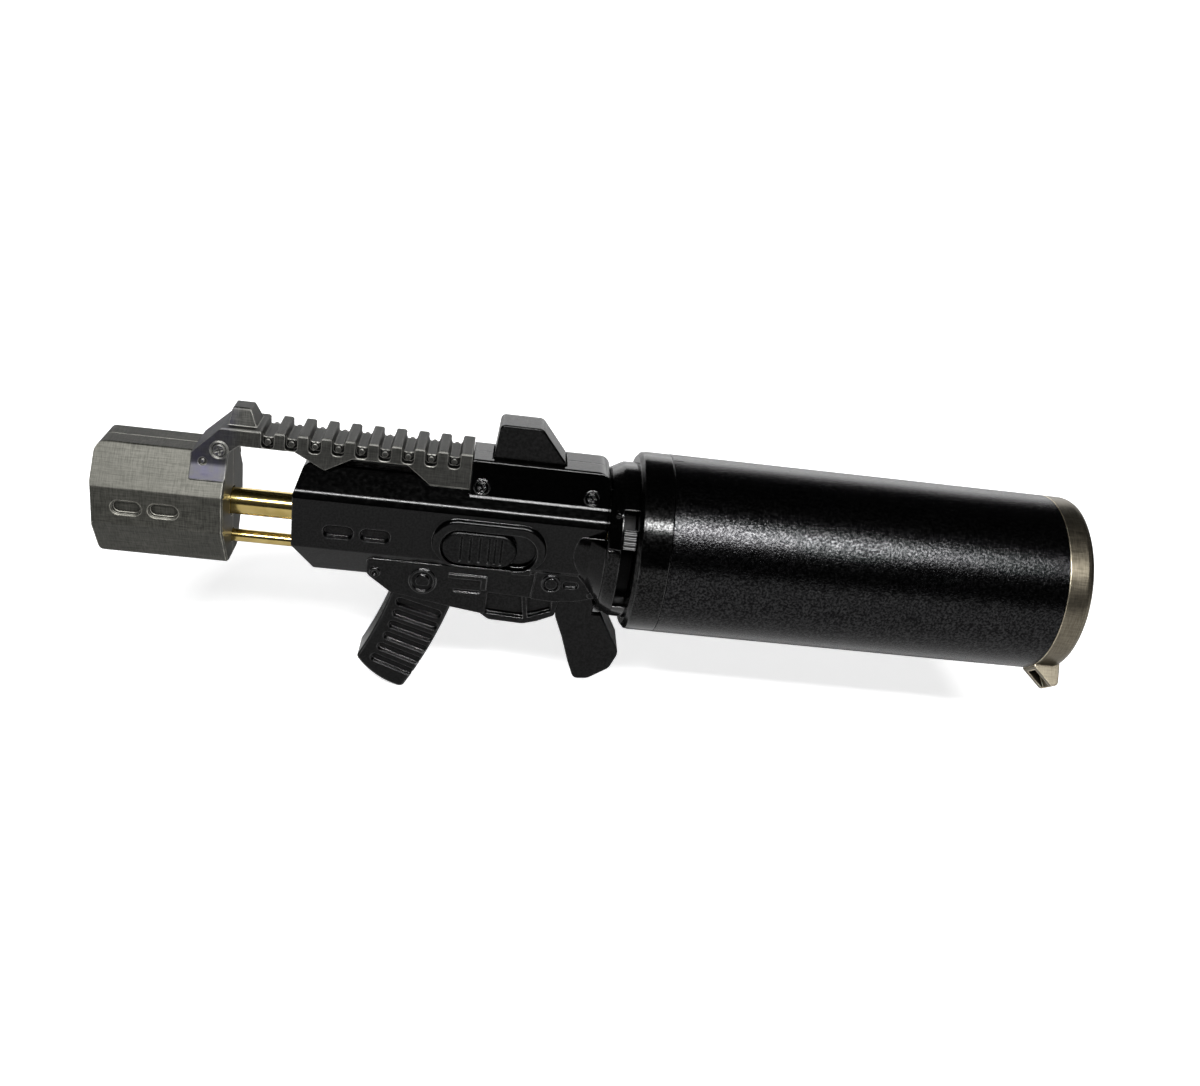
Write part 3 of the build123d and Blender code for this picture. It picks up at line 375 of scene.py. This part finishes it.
def make_finishes():
    """Material of each of the record's slots."""
    return {
        "shroud": gunmetal("gunmetal_shroud", (0.046, 0.046, 0.040), (0.128, 0.125, 0.111),
                           (0.46, 0.58)),
        # the rail's front end gets a painted purple reflection
        "rail": gunmetal("gunmetal_rail", (0.040, 0.040, 0.037), (0.090, 0.089, 0.082),
                         (0.42, 0.54), painted_sheen=(0.052, 0.050, 0.072)),
        "cap_metal": gunmetal("gunmetal_cap", (0.135, 0.119, 0.089), (0.240, 0.212, 0.160),
                              (0.28, 0.38)),
        "nozzle_brass": brass("brass_nozzle", (0.55, 0.40, 0.18), (0.28, 0.18, 0.10), (0.25, 0.4)),
        "tube_brass": brass("brass_tube", (0.62, 0.48, 0.19), (0.33, 0.24, 0.06)),
        "valve_brass": brass("brass_valve", (0.72, 0.54, 0.26), (0.5, 0.36, 0.16), (0.2, 0.35)),
        "disc_steel": plain_metal("steel_disc", (0.42, 0.40, 0.38)),
        "plate_steel": plain_metal("steel_plate", (0.5, 0.5, 0.49)),
        "pin_steel": plain_metal("steel_pin", (0.55, 0.55, 0.54)),
        "screw_steel": plain_metal("steel_screw", (0.16, 0.16, 0.16)),
        "spring_steel": plain_metal("steel_spring", (0.6, 0.6, 0.61), (0.15, 0.3)),
        "lever_steel": plain_metal("steel_lever", (0.5, 0.5, 0.51)),
        "head_aluminium": plain_metal("aluminium_head", (0.72, 0.72, 0.73)),
        "body_black": enamel("enamel_body", (0.014, 0.022)),
        "neck_black": enamel("enamel_neck"),
        "collar_black": enamel("enamel_collar", (0.007, 0.034), (0.12, 0.2)),
        "button_black": satin_black("satin_button", (0.010, 0.018), (0.20, 0.28)),
        "slider_black": satin_black("satin_slider"),
        "adjuster_metal": adjuster_finish("steel_adjuster", (0.08, 0.08, 0.08),
                                          (0.004, 0.004, 0.004)),
        "tank_black": sand_black("sand_tank"),
        "piezo_plastic": moulded("plastic_piezo", (0.02, 0.02, 0.022), 0.45),
        "dip_plastic": moulded("plastic_dip", (0.72, 0.72, 0.68), 0.4),
        "lead_plastic": moulded("plastic_lead", (0.35, 0.02, 0.015), 0.35),
        "seal_rubber": moulded("rubber_seal", (0.012, 0.012, 0.012), 0.6),
        "hose_rubber": moulded("rubber_hose", (0.02, 0.02, 0.02), 0.55),
        "ceramic": moulded("ceramic_glaze", (0.80, 0.77, 0.70), 0.2),
    }


def dress_nodes(finishes):
    """Give every CAD node the material of its slot."""
    for row in frame["record"]["subparts"]:
        holder = nodes[row["node"]]
        holder.data.materials.clear()
        holder.data.materials.append(finishes[row["material_slot"]])


# ---------------------------------------------------------------- springs
def add_spring(node):
    """Copy of a coil spring on the housing, shown in place of its CAD node."""
    spring = bpy.data.objects.new(node + "_coil", nodes[node].data.copy())
    bpy.context.scene.collection.objects.link(spring)
    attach(spring, "housing")
    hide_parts(node)
    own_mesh(spring)


def add_springs():
    """The three springs that pressing the button or the refill valve shortens."""
    add_spring("button_spring")
    add_spring("valve_spring")
    add_spring("refill_spring")


# ---------------------------------------------------------------- stage
def add_camera():
    """Camera at the viewing angle of a person looking down at the left side."""
    data = bpy.data.cameras.new("camera")
    data.sensor_width = SENSOR
    data.lens = LENS
    data.clip_start = 0.01
    camera = bpy.data.objects.new("camera", data)
    turn = (Matrix.Rotation(math.radians(-CAMERA_HEADING), 4, "Z")
            @ Matrix.Rotation(math.radians(90 - CAMERA_DOWN), 4, "X")
            @ Matrix.Rotation(math.radians(CAMERA_ROLL), 4, "Z"))
    camera.matrix_world = Matrix.Translation(CAMERA_PLACE) @ turn
    bpy.context.scene.collection.objects.link(camera)
    bpy.context.scene.camera = camera


def paper_profile():
    """Side view of the paper, as (y, z) points: floor, quarter bend and backdrop."""
    low = cad_box[0][2] - FLOOR_GAP
    profile = [(FLOOR_FRONT, low)]
    for k in range(BEND_STEPS + 1):
        angle = math.radians(90 * k / BEND_STEPS)
        profile.append((BACKDROP_Y + BEND_RADIUS * math.sin(angle),
                        low + BEND_RADIUS * (1 - math.cos(angle))))
    profile.append((BACKDROP_Y + BEND_RADIUS, low + BACKDROP_HEIGHT))
    return profile


def paper_finish():
    """Plain pale paper, paler to the camera than to anything that it lights."""
    shader = Shader("paper")
    seen = shader.add("ShaderNodeLightPath").outputs["Is Camera Ray"]
    pale = shader.ramp(shader.noise(30, 2), (0.3, 0.7), ((0.86, 0.86, 0.86), (0.88, 0.88, 0.88)))
    shader.colour(shader.mix(seen, (PAPER_BOUNCE,) * 3, pale))
    shader.tie("Roughness", 0.95)
    shader.tie("Specular IOR Level", 0.1)
    shader.tie("Emission Color", (1, 1, 1))
    shader.tie("Emission Strength", shader.spread(seen, 0.0, FLOOR_GLOW, 0.0, 1.0))
    return shader.material


def add_floor():
    """Paper sweep: floor, bend and backdrop in one sheet."""
    profile = paper_profile()
    verts = [(x, y, z) for y, z in profile for x in (-PAPER_HALF_WIDTH, PAPER_HALF_WIDTH)]
    faces = [(2 * k, 2 * k + 1, 2 * k + 3, 2 * k + 2) for k in range(len(profile) - 1)]
    mesh = bpy.data.meshes.new("paper_sweep")
    mesh.from_pydata(verts, [], faces)
    mesh.shade_smooth()
    floor = bpy.data.objects.new("paper_sweep", mesh)
    bpy.context.scene.collection.objects.link(floor)
    mesh.materials.append(paper_finish())


def area_light(name, place, aim, size, power):
    """Rectangular soft light pointing at a spot."""
    data = bpy.data.lights.new(name, "AREA")
    data.shape = "RECTANGLE"
    data.size, data.size_y = size
    data.energy = power
    light = bpy.data.objects.new(name, data)
    direction = Vector(aim) - Vector(place)
    light.rotation_euler = direction.to_track_quat("-Z", "Y").to_euler()
    light.location = place
    light.visible_camera = False
    bpy.context.scene.collection.objects.link(light)


def add_world():
    """Pale room for the camera, dim room for everything the lights do."""
    world = bpy.data.worlds.new("world")
    bpy.context.scene.world = world
    world.use_nodes = True
    tree = world.node_tree
    dim = tree.nodes["Background"]
    dim.inputs["Color"].default_value = ROOM_TINT
    dim.inputs["Strength"].default_value = ROOM_STRENGTH
    pale = tree.nodes.new("ShaderNodeBackground")
    pale.inputs["Color"].default_value = SEEN_TINT
    pale.inputs["Strength"].default_value = SEEN_STRENGTH
    seen = tree.nodes.new("ShaderNodeLightPath")
    chooser = tree.nodes.new("ShaderNodeMixShader")
    tree.links.new(seen.outputs["Is Camera Ray"], chooser.inputs[0])
    tree.links.new(dim.outputs[0], chooser.inputs[1])
    tree.links.new(pale.outputs[0], chooser.inputs[2])
    tree.links.new(chooser.outputs[0], tree.nodes["World Output"].inputs["Surface"])


def add_lights():
    """Plain studio light: a strip above the camera, a weak fill behind, a wash on the paper."""
    add_world()
    area_light("strip", STRIP_PLACE, LIGHTER_MIDDLE, STRIP_SIZE, STRIP_POWER)
    area_light("rear_fill", REAR_PLACE, LIGHTER_MIDDLE, REAR_SIZE, REAR_POWER)
    area_light("backdrop_wash", WASH_PLACE, WASH_AIM, WASH_SIZE, WASH_POWER)


def main():
    """Dress the CAD nodes and set the stage."""
    bpy.context.scene.view_settings.view_transform = "Standard"
    add_camera()
    dress_nodes(make_finishes())
    add_springs()
    add_floor()
    add_lights()


main()
